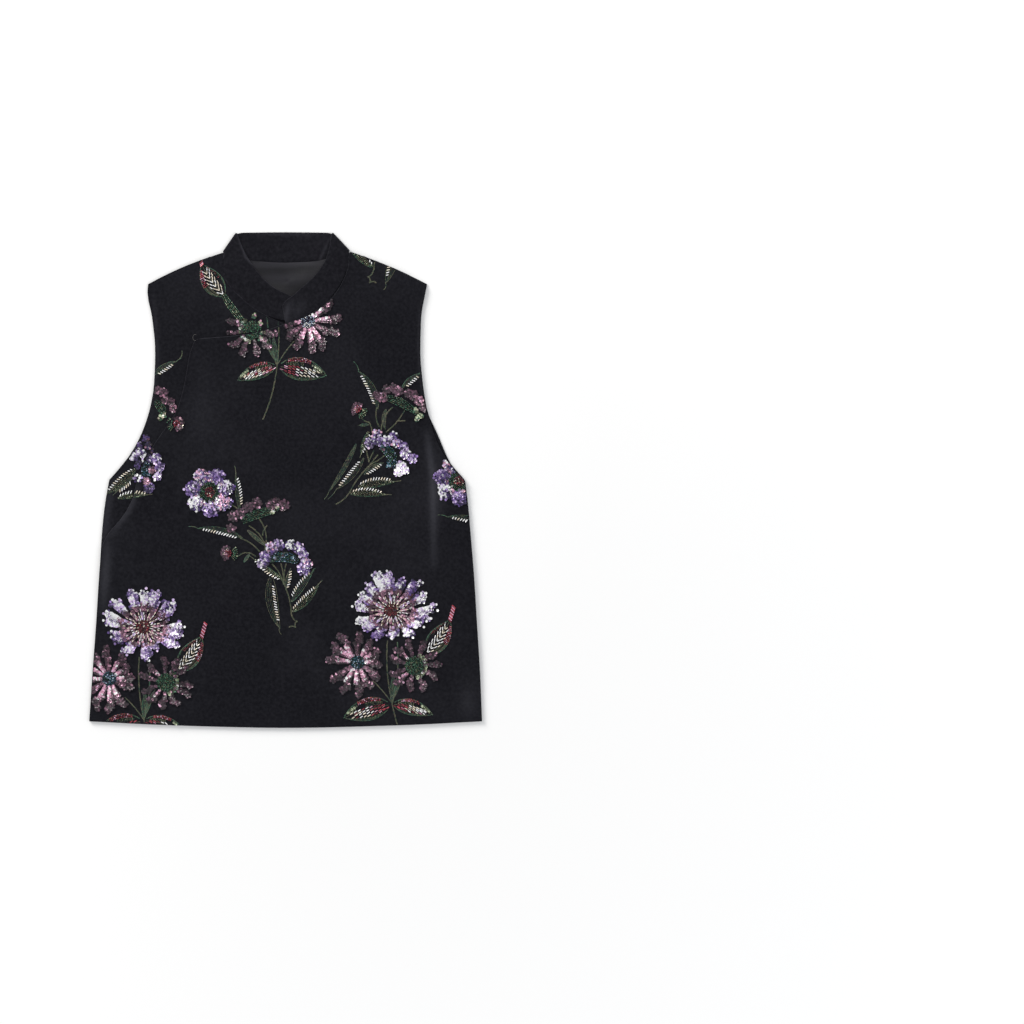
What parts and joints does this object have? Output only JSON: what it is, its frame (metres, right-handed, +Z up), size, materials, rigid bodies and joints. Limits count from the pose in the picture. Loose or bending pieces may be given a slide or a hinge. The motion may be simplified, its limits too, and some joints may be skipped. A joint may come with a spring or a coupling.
{
  "type": "sleeveless velvet jacket",
  "caption": "Short sleeveless velvet jacket in a Chinese cut, laid flat front up, with a stand collar, a lap front closing at the side and sequin flower sprays",
  "frame": {"origin": "middle of the jacket's outline, on the table it lies on", "axes": "X across the garment to the viewer's right, Y from the hem to the collar, Z up from the table through the layers"},
  "size_m": [0.511, 0.6448, 0.0093],
  "materials": {
    "velvet": "short dense velvet pile, near black",
    "collar_velvet": "stiffened velvet, near black, brushed lighter near the front end",
    "lining": "dark grey satin",
    "sequins": "small glossy sequins in lilac, purple, pink and plum",
    "beads": "opaque glass bugle and seed beads in cream, red, green and teal",
    "thread": "matte embroidery thread in greens and browns"
  },
  "bodies": {
    "root": {"back_panel": "velvet", "back_neck_lining": "lining", "under_front": "velvet", "lap_front": "velvet", "stand_collar": "collar_velvet"}
  },
  "joints": []
}
